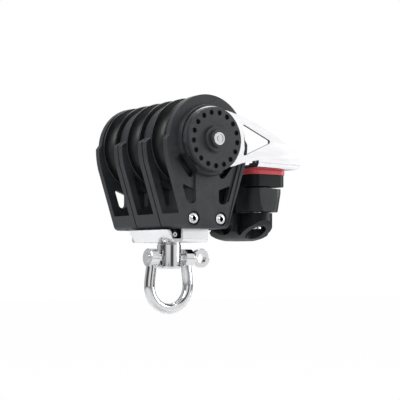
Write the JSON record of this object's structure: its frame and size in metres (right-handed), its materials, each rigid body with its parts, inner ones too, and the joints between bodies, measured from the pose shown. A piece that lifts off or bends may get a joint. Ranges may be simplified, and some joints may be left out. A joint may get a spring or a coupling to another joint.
{
  "type": "triple_block_with_cam_cleat",
  "caption": "Triple ball-bearing rope block with a cam cleat on a polished steel arm, a swivel and a bow shackle",
  "frame": {"origin": "inside of the shackle's crown, under the middle of the axle", "axes": "+Y along the axle from the near disc to the far one, +X toward the cam cleat, +Z from the shackle up to the sheaves"},
  "size_m": [0.1042, 0.1142, 0.1416],
  "materials": {
    "moulded_black": "moulded black plastic with a fine grain",
    "sheave_black": "smooth black plastic, lightly polished by rope",
    "race_grey": "dark grey bearing plastic",
    "ball_plastic": "off-white plastic balls",
    "bright_steel": "turned and polished stainless steel",
    "sheet_steel": "polished stainless sheet with a faint grain",
    "moulded_red": "bright red moulded plastic",
    "cam_black": "black fibre-filled plastic, slightly worn teeth",
    "nut_black": "black nylon nut",
    "polished_steel": "forged stainless steel, electropolished"
  },
  "bodies": {
    "frame": {"front_cheek": "moulded_black", "inner_front_cheek": "moulded_black", "inner_back_cheek": "moulded_black", "back_cheek": "moulded_black", "front_hub": "race_grey", "middle_hub": "race_grey", "back_hub": "race_grey", "axle": "bright_steel", "front_disc": "moulded_black", "back_disc": "moulded_black", "front_spacer_outer": "moulded_black", "front_spacer_inner": "moulded_black", "middle_spacer": "moulded_black", "back_spacer": "moulded_black", "lower_rivets": "bright_steel", "arm_washers": "sheet_steel", "cleat_arm": "sheet_steel", "cleat_riser": "moulded_red", "cleat_base": "moulded_black", "near_bush": "bright_steel", "far_bush": "bright_steel", "near_cam_spring": "bright_steel", "far_cam_spring": "bright_steel", "cam_bearings": "race_grey", "cleat_screws": "bright_steel", "cleat_nuts": "nut_black", "fairlead": "moulded_black", "head_strap": "sheet_steel", "swivel_boss": "moulded_black", "lock_screw": "bright_steel", "swivel_washer": "bright_steel"},
    "front_wheel": {"front_sheave": "sheave_black", "front_balls": "ball_plastic"},
    "middle_wheel": {"middle_sheave": "sheave_black", "middle_balls": "ball_plastic"},
    "back_wheel": {"back_sheave": "sheave_black", "back_balls": "ball_plastic"},
    "near_cam_body": {"near_cam": "cam_black"},
    "far_cam_body": {"far_cam": "cam_black"},
    "swivel": {"swivel_post": "polished_steel", "swivel_collar": "bright_steel"},
    "shackle": {"shackle_bow": "polished_steel", "shackle_pin": "polished_steel"}
  },
  "joints": [
    {"name": "front_sheave_spin", "type": "hinge", "parent": "frame", "child": "front_wheel", "pos_m": [0, -0.03, 0.105], "axis": [0, 1, 0], "continuous": true},
    {"name": "middle_sheave_spin", "type": "hinge", "parent": "frame", "child": "middle_wheel", "pos_m": [0, 0, 0.105], "axis": [0, 1, 0], "continuous": true},
    {"name": "back_sheave_spin", "type": "hinge", "parent": "frame", "child": "back_wheel", "pos_m": [0, 0.03, 0.105], "axis": [0, 1, 0], "continuous": true},
    {"name": "swivel_turn", "type": "hinge", "parent": "frame", "child": "swivel", "pos_m": [0, 0, 0.0404], "axis": [0, 0, 1], "continuous": true},
    {"name": "shackle_swing", "type": "hinge", "parent": "swivel", "child": "shackle", "pos_m": [0, 0, 0.0302], "axis": [1, 0, 0], "range_deg": [-90, 90]},
    {"name": "near_cam_turn", "type": "hinge", "parent": "frame", "child": "near_cam_body", "pos_m": [0.058, -0.019, 0.0695], "axis": [0, 0, 1], "range_deg": [-40, 0], "stiffness_Nm_per_rad": 0.1},
    {"name": "far_cam_turn", "type": "hinge", "parent": "frame", "child": "far_cam_body", "pos_m": [0.058, 0.019, 0.0695], "axis": [0, 0, 1], "range_deg": [0, 40], "stiffness_Nm_per_rad": 0.1}
  ]
}
